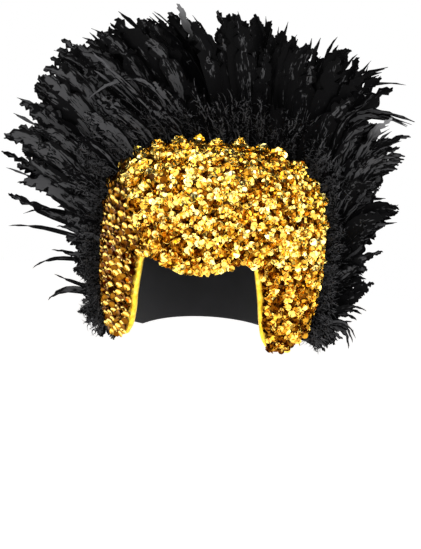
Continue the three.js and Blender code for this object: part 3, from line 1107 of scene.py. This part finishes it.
    def clear_of_binding(self, p: Array, across: Array) -> Array:
        """Choose the sequins that leave the binding bare on the flaps' inner edges, and only there.

        Args:
            p: where they sit.
            across: their shares across.

        Returns:
            True for each that stays.
        """
        count, inner_edge_x = 400, 0.0575
        rim = self.form.face_rim(count)
        number, gap = nearest(p, rim)
        share = number / (count - 1)
        inner_edge = (share > 0.13) & (share < 0.87) & (np.abs(rim[number, 0]) > inner_edge_x)
        wobble = 0.0008 * ripple(p, 0.006, 2.0)
        return gap * np.sign(1 - across) > np.where(inner_edge, self.bare_binding, -0.0012) + wobble

    def laid(self, p: Array, even: Array, swell: Array, rng: Random) -> tuple[Array, Array, Array]:
        """Lay the sequins on the ruffles' slopes, the even rows more alike than the others.

        Args:
            p: where they sit.
            even: True for those of the even rows.
            swell: the share of a full ruffle's height at each.
            rng: random numbers.

        Returns:
            The ways that each one's X, Y and Z point.
        """
        step = 0.0006
        normal = self.form.normal(p)
        side = unit(np.cross(normal, np.array([0.03, 0.2, 1.0])))
        ahead = np.cross(normal, side)
        rises = [(self.swell(p + way * step) - swell) * self.ruffle / step for way in (side, ahead)]
        slopes = np.stack(rises, axis=-1)
        slopes *= self.ease / np.maximum(1.0, np.linalg.norm(slopes, axis=1, keepdims=True) * self.ease)
        slopes += rng.normal(0.0, self.stray, slopes.shape) * np.where(even, 0.20, 1.0)[:, None]
        slopes[even] += self.row_lean
        facing = unit(normal - side * slopes[:, :1] - ahead * slopes[:, 1:])
        spin = np.where(even, 0.75 * math.pi, rng.uniform(0, math.pi, len(p)))[:, None]
        first = unit(side * np.cos(spin) + ahead * np.sin(spin))
        first = unit(first - facing * np.sum(first * facing, axis=1, keepdims=True))
        return first, np.cross(facing, first), facing

    def tints_with_painted_light(self, p: Array, even: Array, turned: Array, swell: Array, rng: Random) -> Array:
        """Tint the sequins: painted shade in the hollows and down the flaps, painted highlights on the
        ridges.

        Args:
            p: where they sit.
            even: True for those of the even rows.
            turned: True for those of the rows that get painted shade instead of a painted glint.
            swell: the share of a full ruffle's height at each.
            rng: random numbers.

        Returns:
            Tints from 0, brown for painted shade, to 1, lemon for a painted highlight.
        """
        # Painted shade in the hollows and painted highlights on the ridges, over random tone.
        hollow, ridge, highest, spread = -0.12, 0.95, 0.9, 0.17
        tint = hollow + ridge * np.minimum(swell, highest) + rng.normal(0, spread, len(p))
        # Painted shade that darkens the flaps towards their bottoms.
        shade, shade_top, shade_depth = 0.28, -0.09, 0.04
        tint -= shade * np.clip((shade_top - p[:, 2]) / shade_depth, 0, 1)
        # The rows' sequins get a painted glint, or painted shade where they are turned.
        turned_painted_shade, row_painted_glint = 0.03, 0.78
        row_painted_light = np.where(turned[even], turned_painted_shade, row_painted_glint)
        tint[even] = row_painted_light + rng.uniform(-0.1, 0.15, int(even.sum()))
        return np.clip(tint, 0, 1)

    def build(self) -> None:
        """Make the net and sew the sequins to it, in one piece for the crown and one for the flaps."""
        self.ground()
        along, across, turned = self.places()
        p = self.form.front_panel(along, across)
        clear = self.clear_of_binding(p, across)
        p, even, turned = p[clear], (along < self.rows_until)[clear], turned[clear] > 0
        count, rng = len(p), np.random.default_rng(self.seed + 1)
        swell = self.swell(p)
        ways = self.laid(p, even, swell, rng)
        radius = self.radius * np.where(even, 1.08, rng.uniform(0.80, 1.15, count))
        height = self.low + self.ruffle * swell + self.sewn + rng.uniform(-0.0004, 0.0006, count)
        middle = self.form.lifted(p, height)
        tint = self.tints_with_painted_light(p, even, turned, swell, rng)
        cuts = rng.integers(0, len(SequinCut), count)
        cuts[even] = 0
        flap = p[:, 2] < self.flap_top
        material = SequinFinish().material()
        for name, part in (("sequins_crown", ~flap), ("sequins_flaps", flap)):
            mesh = JoinedMesh(name)
            for number, cut in enumerate(SequinCut):
                chosen = part & (cuts == number)
                template = self.template(cut)
                axes = template.points.T[:, None, :, None]
                local = sum(way[chosen, None] * axis for way, axis in zip(ways, axes))
                points = middle[chosen, None] + local * radius[chosen, None, None]
                # Each even row sequin keeps a painted glint along its middle and gets painted shade away from
                # it.
                off_glint = np.clip(np.abs(template.points[:, 1]) / self.fold, 0, 1)
                glint_edge_shade = self.shade_past_glint * even[chosen, None] * off_glint
                mesh.add(points, template.triangles, tint=tint[chosen, None] * (1 - glint_edge_shade))
            hand_over(mesh.build(math.radians(50)), material, "sequin_field")
            LOG.info("%s: %d sequins", name, int(part.sum()))


class FeatherKind(Enum):
    """The kinds of feather in the fan."""

    BROAD = "broad"
    HACKLE = "hackle"
    DOWN = "down"


BROAD, HACKLE, DOWN = FeatherKind


@dataclass(frozen=True)
class FeatherTemplate:
    """A feather with its length along Y from 0 to 1, in half-widths across X and Z.

    Its marks hold, for each point, the place of its barb along the feather, the distance out along the
    barb, and a number that tells the barbs of one side from the other's. Its rim is 1 on the vane's edges.
    """

    shape: Template
    marks: Array
    rim: Array


@dataclass(frozen=True)
class Vane:
    """A flat feather: one thin, cambered blade with small teeth and a few splits near its tip."""

    rows: int
    widest: float
    root_width: float
    blunt: float
    ragged: float
    splits: int
    sweep: float
    camber: float
    thickness: float = 0.035

    def half_width(self, at: float) -> float:
        """Draw the outline.

        Args:
            at: a share of the length.

        Returns:
            The half-width there, 1 at the widest place.
        """
        if at < self.widest:
            return self.root_width + (1 - self.root_width) * math.sin(0.5 * math.pi * at / self.widest)
        return (1 - min(1.0, (at - self.widest) / (1 - self.widest)) ** 2.4) ** self.blunt

    def template(self, seed: int) -> FeatherTemplate:
        """Make one feather, whose rows lie closer together towards the tip.

        Args:
            seed: the number of this variant.

        Returns:
            The feather.
        """
        rng = np.random.default_rng(seed)
        toothed = np.arange(self.rows + 1) >= self.rows // 2
        depth = 1 - self.ragged * rng.uniform(0.5, 1.0, (2, self.rows + 1)) * toothed
        depth[0, ::2] = depth[1, 1::2] = 1.0
        for side in (0, 1):
            split = rng.choice(np.arange(self.rows // 2 + 1, self.rows - 1), self.splits, replace=False)
            depth[side, split] = rng.uniform(0.25, 0.5, self.splits)
        bm = bmesh.new()
        bmesh.ops.create_grid(bm, x_segments=2, y_segments=self.rows, size=1.0)
        for vert in bm.verts:
            row = round((vert.co.y + 1) / 2 * self.rows)
            at = 1 - (1 - row / self.rows) ** 1.6
            edge = abs(vert.co.x) > 0.5
            kept = float(depth[int(vert.co.x > 0), row]) if edge else 1.0
            width = self.half_width(at) * kept
            tooth = 0.25 / self.rows * (kept == 1.0 and bool(toothed[row]))
            lean = (self.sweep * width * (1 - at) + tooth) * edge
            vert.co = (vert.co.x * width, min(at + lean, 1.0), -self.camber * abs(vert.co.x) * width)
        bmesh.ops.remove_doubles(bm, verts=bm.verts[:], dist=1e-5)
        bmesh.ops.recalc_face_normals(bm, faces=bm.faces[:])
        bmesh.ops.solidify(bm, geom=bm.faces[:], thickness=self.thickness)
        shape = Template.taken_from(bm)
        x, y = shape.points[:, 0], shape.points[:, 1]
        marks = np.column_stack([y - 0.10 * np.abs(x), np.abs(x), np.sign(x)])
        return FeatherTemplate(shape, marks, (np.abs(x) > 1e-3).astype(float))


@dataclass(frozen=True)
class DownTuft:
    """A fluffy feather: curly strands on both sides of a short quill."""

    strands: int
    width: float
    curl: float
    aspect: float

    @staticmethod
    def strand() -> Template:
        """Make one pointed strand.

        Returns:
            The strand, of unit length along Z and with half-sizes 1 across X and Y.
        """
        bm = bmesh.new()
        bmesh.ops.create_cone(bm, cap_ends=True, segments=3, radius1=1.0, radius2=0.0, depth=1.0)
        bmesh.ops.remove_doubles(bm, verts=bm.verts[:], dist=1e-6)
        bmesh.ops.translate(bm, verts=bm.verts[:], vec=(0.0, 0.0, 0.5))
        for height in (0.25, 0.5, 0.75):
            whole, cut = bm.verts[:] + bm.edges[:] + bm.faces[:], (0, 0, height)
            bmesh.ops.bisect_plane(bm, geom=whole, dist=1e-6, plane_co=cut, plane_no=(0, 0, 1))
        return Template.taken_from(bm)

    def template(self, seed: int) -> FeatherTemplate:
        """Make one feather.

        Args:
            seed: the number of this variant.

        Returns:
            The feather.
        """
        rng = np.random.default_rng(seed)
        strand = self.strand()
        u = strand.points[:, 2]
        points, triangles, marks = [], [], []
        for number in range(self.strands):
            start = rng.uniform(0.0, 0.75)
            angle = rng.uniform(-1.25, 1.25) * (1 - 0.4 * start)
            lift = rng.uniform(-0.9, 0.9)
            length = rng.uniform(0.6, 1.15) * (1.1 - 0.5 * start)
            curl = rng.choice((-1.0, 1.0)) * self.curl * rng.uniform(0.4, 1.2)
            heading = angle + 0.5 * curl * u
            out = np.sin(heading) * u * length + strand.points[:, 0] * self.width
            along = start + np.cos(heading) * u * length / self.aspect
            through = lift * u * length * 0.8 + 0.2 * curl * u**2 + strand.points[:, 1] * self.width
            points.append(np.column_stack([out, along, through]))
            triangles.append(strand.triangles + number * len(u))
            marks.append(np.column_stack([np.full_like(u, number / 9), u, np.full_like(u, number % 5)]))
        shape = Template(np.vstack(points), np.vstack(triangles))
        return FeatherTemplate(shape, np.vstack(marks), np.zeros(len(shape.points)))


SHAPES: dict[FeatherKind, Vane | DownTuft] = {
    BROAD: Vane(
        rows=24, widest=0.66, root_width=0.30, blunt=0.62, ragged=0.17, splits=3, sweep=0.08, camber=0.28
    ),
    HACKLE: Vane(
        rows=12, widest=0.50, root_width=0.40, blunt=0.95, ragged=0.16, splits=1, sweep=0.06, camber=0.30
    ),
    DOWN: DownTuft(strands=20, width=0.085, curl=2.4, aspect=3.2),
}

# How densely each kind is planted: share along the arch and density.
SPREAD = {
    BROAD: ((-1.0, 0.7), (-0.7, 1.2), (0.15, 1.2), (0.35, 0.7), (1.0, 0.6)),
    HACKLE: ((-1.0, 1.2), (-0.75, 0.5), (0.1, 0.4), (0.35, 1.4), (1.0, 1.2)),
    DOWN: ((-1.0, 1.0), (1.0, 1.0)),
}

# How much painted sheen shows as grey on the feathers, by place: share along the arch and level.
PAINTED_SHEEN = ((-1.0, 0.28), (-0.4, 0.31), (-0.2, 0.23), (-0.05, -0.06), (0.25, -0.15), (0.4, 0.22), (1.0, 0.29))


@dataclass(frozen=True)
class RowPlan:
    """One row of feathers and the tape it is sewn to."""

    name: str
    slot: str
    behind: float  # distance of the tape behind the arch
    tilt: float  # degrees that the feathers lean back
    share: float  # share of the fan's radius that they reach
    counts: tuple[int, int, int]  # of broad feathers, hackles and down
    seed: int

    @property
    def node(self) -> str:
        """Name of the CAD node that the row stands for."""
        return f"feather_row_{self.name}"


ROWS = (
    RowPlan("fluff", "downy_feather", 0.008, -26, 0.46, (40, 0, 380), 11),
    RowPlan("front", "black_feather", 0.020, -10, 0.93, (130, 60, 130), 22),
    RowPlan("middle", "black_feather", 0.033, 5, 1.0, (160, 120, 70), 33),
    RowPlan("rear", "black_feather", 0.049, 27, 1.0, (180, 130, 60), 44),
)


@dataclass(frozen=True)
class Stray:
    """A feather, or a loose tuft of them, that stands out of the fan."""

    row: str
    kind: FeatherKind
    root: float  # share along the arch
    tip: tuple[float, float]  # across and height
    arch: float  # how far it bows to its side, as a share of its length
    half: float
    # How grey it is: random tone and painted sheen, and 1 paints light showing through into its tip.
    tone: float
    count: int = 1
    forward: float = 0.0  # degrees that it leans forward of its row


STRAYS = (
    Stray("middle", HACKLE, -0.60, (-0.218, -0.090), 0.16, 0.0026, 0.2, 2),
    Stray("front", HACKLE, -0.74, (-0.193, -0.140), 0.26, 0.0024, 0.2),
    Stray("middle", HACKLE, -0.72, (-0.181, -0.119), 0.06, 0.0028, 0.2),
    Stray("front", HACKLE, -0.86, (-0.169, -0.144), -0.06, 0.0022, 0.2),
    Stray("front", HACKLE, -0.90, (-0.170, -0.172), 0.34, 0.0040, 0.6),
    Stray("middle", HACKLE, -0.50, (-0.238, -0.035), 0.03, 0.0030, 0.8),
    Stray("middle", BROAD, -0.55, (-0.230, -0.057), 0.05, 0.0055, 0.3, 2),
    Stray("middle", BROAD, -0.45, (-0.246, -0.011), 0.09, 0.0052, 0.2, 2),
    Stray("fluff", BROAD, -0.17, (-0.136, 0.043), 1.00, 0.0040, 0.62),
    Stray("fluff", HACKLE, -0.20, (-0.128, 0.090), 0.10, 0.0040, 1.0),
    Stray("fluff", HACKLE, -0.24, (-0.134, 0.074), 0.12, 0.0036, 1.0),
    Stray("middle", BROAD, -0.02, (-0.066, 0.156), 0.05, 0.0070, 1.0),
    Stray("middle", HACKLE, 0.33, (0.158, 0.104), 0.40, 0.0062, 0.1, 4),
    Stray("middle", HACKLE, 0.35, (0.183, 0.092), 0.60, 0.0034, 0.3),
    Stray("middle", HACKLE, 0.41, (0.194, 0.050), 0.85, 0.0054, 0.6, 5),
    Stray("front", BROAD, 0.44, (0.178, 0.053), 0.14, 0.0058, 1.0),
    Stray("middle", BROAD, 0.46, (0.190, 0.031), 0.32, 0.0056, 0.5, 2),
    Stray("front", BROAD, 0.51, (0.192, 0.008), 0.40, 0.0064, 0.5, 5),
    Stray("front", BROAD, 0.65, (0.188, -0.042), 0.40, 0.0080, 0.2, 6),
    Stray("front", BROAD, 0.78, (0.173, -0.089), 0.14, 0.0056, 0.3, 4),
    Stray("front", BROAD, 0.88, (0.169, -0.126), 0.05, 0.0072, 0.1, 3),
    Stray("front", HACKLE, 0.91, (0.164, -0.153), 0.30, 0.0042, 0.4, 3),
    Stray("front", HACKLE, 0.93, (0.158, -0.183), 0.55, 0.0034, 0.6, 3),
    Stray("fluff", DOWN, -0.97, (-0.114, -0.206), 0.0, 0.0110, 0.8, 4, 10.0),
    Stray("fluff", DOWN, -0.93, (-0.112, -0.190), 0.0, 0.0100, 0.5, 5, 26.0),
    Stray("fluff", DOWN, -0.88, (-0.116, -0.170), 0.0, 0.0090, 0.4, 4, 20.0),
)


@dataclass(frozen=True)
class Planting:
    """Copies of one feather that are planted together, with one value of each field for every copy."""

    along: Array  # where it is rooted along the arch
    target: Array  # across and height that it points to
    share: Array  # share of the way to the target that it reaches
    arch: Array  # how far it bows to its side, as a share of its length
    half: Array  # half its width
    tone: Array  # how grey it is, from 0 to 1: random tone and painted sheen
    twist: Array  # angle that its vane turns away from the fan


@dataclass
class FeatherRow:
    """One row of the fan: its tape, and its feathers."""

    form: CapForm
    plan: RowPlan
    shapes: Mapping[FeatherKind, list[FeatherTemplate]]
    tape_gap: float = 0.0008
    tape_wall: float = 0.002
    tape_width: float = 0.009
    shortest: float = 0.030
    clumping: float = 0.05
    clumps: float = 14.0
    parting: float = 0.07
    tuft: float = 0.008
    centre: tuple[float, float] = (-0.005, -0.087)
    middle_heading: float = 93.0
    half_spread: float = 133.0
    lowest: tuple[float, float, float] = (-0.252, -0.086, -0.207)
    highest: tuple[float, float, float] = (0.200, 0.142, 0.160)

    def __post_init__(self) -> None:
        """Start the row's mesh and its random numbers."""
        self.mesh = JoinedMesh(f"feathers_{self.plan.name}")
        self.rng = np.random.default_rng(self.plan.seed)

    def on_tape(self, along: Array, across: Array) -> Array:
        """Place the tape on the cloth."""
        p = self.form.behind_arch(along, self.plan.behind + (across - 0.5) * self.tape_width)
        return self.form.lifted(p, self.tape_gap + self.tape_wall)

    def tape(self, cotton: bpy.types.Material) -> None:
        """Make the tape.

        Args:
            cotton: its material.
        """
        cut = (0.55, self.tape_width)
        piece = cloth_piece(f"tape_{self.plan.name}", (120, 3), self.on_tape, cut, self.tape_wall)
        hand_over(piece, cotton, self.plan.node)

    def feathers(self, material: bpy.types.Material) -> None:
        """Make the feathers.

        Args:
            material: their material.
        """
        for kind, count in zip(FeatherKind, self.plan.counts):
            variants = len(self.shapes[kind])
            for number, template in enumerate(self.shapes[kind]):
                share = count // variants + (number < count % variants)
                if share:
                    self.grow(kind, template, self.planting(kind, share))
        for number, stray in enumerate(STRAYS):
            if stray.row == self.plan.name:
                variants = self.shapes[stray.kind]
                self.grow(stray.kind, variants[number % len(variants)], self.tufted(stray), stray.forward)
        hand_over(self.mesh.build(math.radians(55)), material, self.plan.node)

    def spread(self, kind: FeatherKind, count: int) -> Array:
        """Spread feathers along the arch.

        Args:
            kind: the kind of feather, which has its own density.
            count: the number of feathers.

        Returns:
            Their shares along.
        """
        places, densities = np.array(SPREAD[kind]).T
        fine = np.linspace(-1, 1, 200)
        total = np.cumsum(np.interp(fine, places, densities))
        shares = (np.arange(count) + self.rng.uniform(0, 1, count)) / count
        return np.interp(shares * (total[-1] - total[0]) + total[0], total, fine)

    def clump(self, along: Array, size: float, layer: float) -> Array:
        """Give slow noise along the row, which draws feathers together."""
        return np.array([noise.noise((a * self.clumps * size, self.plan.seed, layer)) for a in along])

    def planting(self, kind: FeatherKind, count: int) -> Planting:
        """Settle how copies of a feather stand in the row.

        Args:
            kind: the kind of feather.
            count: the number of copies.

        Returns:
            The planting.
        """
        rng = self.rng
        along = self.spread(kind, count)
        uneven = 0.008 * self.clump(along, 0.7, 5.0)
        parted = self.parting * np.exp(-(((along + 0.12) / 0.16) ** 2))
        clumped = self.clumping * self.clump(along, 1.0, 0.0)
        aim = np.clip(along - parted + clumped + rng.normal(0, 0.010, count), -1, 1)
        heading = self.middle_heading - self.half_spread * aim
        headings, *reaches = np.array(REACH).T
        dense, longest = (np.interp(heading, headings, reach) for reach in reaches)
        lone = rng.uniform(0, 1, count) < {BROAD: 0.08, HACKLE: 0.12, DOWN: 0.0}[kind]
        radius = {
            BROAD: dense * rng.triangular(0.86, 1.03, 1.05, count) + uneven,
            HACKLE: dense * rng.triangular(0.90, 1.04, 1.08, count) + uneven,
            DOWN: dense,
        }[kind]
        radius = np.where(lone, longest * rng.uniform(0.96, 1.0, count), radius)
        share = rng.uniform(0.24, 0.56, count) if kind is DOWN else np.full(count, self.plan.share)
        heading = np.radians(heading)
        target = np.stack([np.cos(heading), np.sin(heading)], axis=-1) * radius[:, None] + self.centre
        outward = np.tanh((along - 0.10) * 9) * np.where(along > 0.3, 1.35, 1.0)
        arch = {BROAD: 0.17, HACKLE: 0.22, DOWN: 0.0}[kind] * outward
        arch = arch * rng.uniform(0.3, 1.5, count) + rng.normal(0, 0.05, count)
        wider = 1 + 0.3 * np.exp(-(((along + 0.4) / 0.25) ** 2))
        half = {
            BROAD: rng.uniform(0.0080, 0.0122, count) * wider,
            HACKLE: rng.uniform(0.0036, 0.0062, count),
            DOWN: rng.uniform(0.0080, 0.0125, count),
        }[kind]
        # Random tone, with painted sheen laid on by place along the arch.
        tone = 0.9 * np.clip(rng.uniform(0, 0.5, count) + np.interp(along, *np.array(PAINTED_SHEEN).T), 0, 1)
        twist = np.clip(rng.normal(0, 0.32, count), -0.8, 0.8)
        return Planting(along, target, share, arch, half, tone, twist)

    def tufted(self, stray: Stray) -> Planting:
        """Settle how one feather, or a tuft of them, stands out of the fan.

        Args:
            stray: where and how it stands.

        Returns:
            The planting.
        """
        spread = np.linspace(-1, 1, stray.count) if stray.count > 1 else np.zeros(1)
        one = np.ones(stray.count)
        arch = (stray.arch + 0.07 * spread) * (1 if stray.root > 0 else -1)
        target = stray.tip + self.tuft * spread[:, None] * self.rng.uniform(0.3, 1.0, (stray.count, 2))
        along, twist = stray.root + 0.03 * spread, one * 0.1 + 0.2 * spread
        return Planting(along, target, one, arch, one * stray.half, one * stray.tone, twist)

    def grow(
        self, kind: FeatherKind, template: FeatherTemplate, plants: Planting, forward: float = 0.0
    ) -> None:
        """Bend copies of one feather into place.

        Args:
            kind: the kind of feather.
            template: the feather.
            plants: how the copies stand.
            forward: degrees that they lean forward of their row.
        """
        rng, count = self.rng, len(plants.along)
        root = self.form.behind_arch(plants.along, self.plan.behind + rng.uniform(-0.004, 0.004, count))
        normal = self.form.normal(root)
        root = root + normal * (self.tape_gap + self.tape_wall)
        reach = np.insert(plants.target - root[:, ::2], 1, 0.0, axis=1)
        lengths = np.linalg.norm(reach, axis=1)
        heading = reach / lengths[:, None]
        full = np.maximum(lengths * plants.share, self.shortest)
        tilt = np.radians(self.plan.tilt - forward + np.clip(rng.normal(-1.0, 4.5, count), -10, 6))
        tip = root + heading * full[:, None]
        tip[:, 1] += full * np.tan(tilt)
        tip = np.clip(tip, self.lowest, self.highest)
        face = np.stack([np.zeros(count), -np.cos(tilt), np.sin(tilt)], axis=-1)
        turn = np.cross(face, heading)
        bend = root + normal * (0.30 * full)[:, None]
        late = root + (tip - root) * 0.66 + turn * (plants.arch * full)[:, None]
        late += face * (rng.normal(0, 0.05, count) * full)[:, None]
        half = plants.half if kind is DOWN else np.minimum(plants.half, full * 0.15)
        points = self.bent(template.shape.points, (root, bend, late, tip), turn, half, plants.twist)
        # Each point carries its feather's random tone and painted sheen; on down they change from strand to
        # strand.
        tone = np.repeat(plants.tone[:, None], points.shape[1], axis=1)
        if kind is DOWN:
            strand = template.marks[None, :, 2]
            tone = 0.5 * tone + 0.5 * np.mod(strand * 0.37 + 3 * plants.tone[:, None], 1.0)
        barb = template.marks[None] * np.stack([full, half, np.ones(count)], axis=-1)[:, None]
        barb[..., 2] += rng.uniform(0, 90, count)[:, None]
        along, rim = (
            np.array(np.broadcast_to(marks, points.shape[:2]))
            for marks in (np.clip(template.shape.points[:, 1], 0, 1), template.rim)
        )
        self.mesh.add(points, template.shape.triangles, reach=along, tone=tone, rim=rim, barb=barb)

    def bent(
        self, points: Array, curve: tuple[Array, ...], side: Array, half: Array, twist: Array
    ) -> Array:
        """Bend copies of a straight feather along curves.

        Args:
            points: the feather, with its length along Y.
            curve: the four control points of each curve.
            side: the way each feather's vane spreads.
            half: half the width of each feather.
            twist: the angle that each vane turns away from the fan, which doubles or fades towards the tip.

        Returns:
            Copies by points by 3.
        """
        a, b, c, d = (q[:, None] for q in curve)
        x, t, z = (points[None, :, k, None] for k in range(3))
        s = 1 - t
        spine = a * s**3 + b * 3 * s**2 * t + c * 3 * s * t**2 + d * t**3
        ahead = unit((b - a) * 3 * s**2 + (c - b) * 6 * s * t + (d - c) * 3 * t**2)
        across = unit(side[:, None] - ahead * np.sum(side[:, None] * ahead, axis=2, keepdims=True))
        through = np.cross(ahead, across)
        copies = (len(side), 1, 1)
        angle = twist[:, None, None] * (1 + self.rng.uniform(-1, 1, copies) * t)
        turned = across * np.cos(angle) + through * np.sin(angle)
        lifted = through * np.cos(angle) - across * np.sin(angle)
        size = half[:, None, None] * self.rng.choice((-1.0, 1.0), copies)
        return spine + turned * (x * size) + lifted * (z * size)


@dataclass
class FeatherFan:
    """The four rows of feathers that stand in a fan from jaw to jaw."""

    form: CapForm
    variants: int = 5
    seed: int = 17

    def build(self) -> None:
        """Make all the rows."""
        seeds = range(self.seed, self.seed + self.variants)
        shapes = {kind: [maker.template(seed) for seed in seeds] for kind, maker in SHAPES.items()}
        # The down's first grey is painted sheen, and the second is painted light showing through the tips.
        grey, tip_backlight_grey = (0.052, 0.052, 0.055), (0.08, 0.08, 0.085)
        down = FeatherFinish("down_painted_sheen", light=grey, tip_backlight_grey=tip_backlight_grey, edge=0.72, roughness=0.65)
        finishes = {"black_feather": FeatherFinish().material(), "downy_feather": down.material()}
        cotton = CottonFinish().material()
        for plan in ROWS:
            row = FeatherRow(self.form, plan, shapes)
            row.tape(cotton)
            row.feathers(finishes[plan.slot])


@dataclass
class Studio:
    """The floor, the lights and the camera, which stands as the photograph's did."""

    azimuth: float = math.radians(10)
    elevation: float = math.radians(2)
    roll: float = math.radians(5.5)
    distance: float = 2.2
    target: tuple[float, float, float] = (0.0025, 0.0, -0.127)
    lit: tuple[float, float, float] = (0.0, 0.0, -0.05)
    lens: float = 137.0
    floor_z: float = -0.47

    def build(self) -> None:
        """Make the studio."""
        self.camera()
        self.floor()
        self.sky()
        bpy.context.scene.view_settings.view_transform = "Standard"
        self.light("key", (1.0, -1.8, 1.0), 2.4, 62.0)
        self.light("fill", (-1.2, -1.7, 0.1), 1.2, 10.0)
        self.light("rim_left", (-1.4, 0.7, 1.0), 0.9, 14.0)
        self.light("rim_right", (1.3, 0.9, 0.9), 0.7, 8.0)

    def camera(self) -> None:
        """Make the camera."""
        level = math.cos(self.elevation)
        x, y, z = math.sin(self.azimuth) * level, -math.cos(self.azimuth) * level, math.sin(self.elevation)
        back = Vector((x, y, z))
        right = Vector((math.cos(self.azimuth), math.sin(self.azimuth), 0.0))
        up = back.cross(right)
        turned_right = right * math.cos(self.roll) + up * math.sin(self.roll)
        turned_up = up * math.cos(self.roll) - right * math.sin(self.roll)
        data = bpy.data.cameras.new("photo_camera")
        data.sensor_width, data.lens, data.clip_end = 36.0, self.lens, 30.0
        camera = new_object("photo_camera", data)
        turn = Matrix((turned_right, turned_up, back)).transposed().to_4x4()
        camera.matrix_world = Matrix.Translation(Vector(self.target) + back * self.distance) @ turn
        bpy.context.scene.camera = camera

    def floor(self) -> None:
        """Make the floor."""
        bm = bmesh.new()
        bmesh.ops.create_circle(bm, cap_ends=True, segments=96, radius=9.0)
        bmesh.ops.translate(bm, verts=bm.verts[:], vec=(0.0, 0.0, self.floor_z))
        mesh = bpy.data.meshes.new("studio_floor")
        bm.to_mesh(mesh)
        bm.free()
        mesh.materials.append(FloorFinish().material())
        new_object("studio_floor", mesh)

    def sky(self) -> None:
        """Make the surroundings: white behind the headdress, grey before it and darker overhead."""
        world = bpy.data.worlds.new("studio_surroundings")
        world.use_nodes = True
        nodes = Nodes(world.node_tree)
        generated = nodes.node("ShaderNodeTexCoord", {}).outputs["Generated"]
        split = nodes.node("ShaderNodeSeparateXYZ", {0: generated}).outputs
        high = nodes.ramp(split["Z"], ((0.14, (1.0, 1.0, 1.0)), (0.40, (0.11, 0.095, 0.08))))
        deep = nodes.ramp(split["Y"], ((0.30, (0.55, 0.53, 0.50)), (0.90, (1.0, 1.0, 1.0))))
        background = world.node_tree.nodes["Background"]
        nodes.feed(background.inputs["Color"], nodes.mix(1.0, high, deep, "MULTIPLY"))
        bpy.context.scene.world = world

    def light(self, name: str, place: tuple[float, float, float], size: float, power: float) -> None:
        """Make a soft square light that points at the headdress.

        Args:
            name: its name.
            place: where it stands.
            size: the length of its side.
            power: its power in watts.
        """
        data = bpy.data.lights.new(name, "AREA")
        data.size, data.energy = size, power
        aim = Vector(self.lit) - Vector(place)
        turn = aim.to_track_quat("-Z", "Y").to_matrix().to_4x4()
        new_object(name, data).matrix_world = Matrix.Translation(place) @ turn


def main() -> None:
    """Build the studio and the headdress, piece by piece."""
    form = CapForm()
    Studio().build()
    Shells(form).build()
    Binding(form).build()
    Sequins(form).build()
    FeatherFan(form).build()


if __name__ == "__main__":
    main()
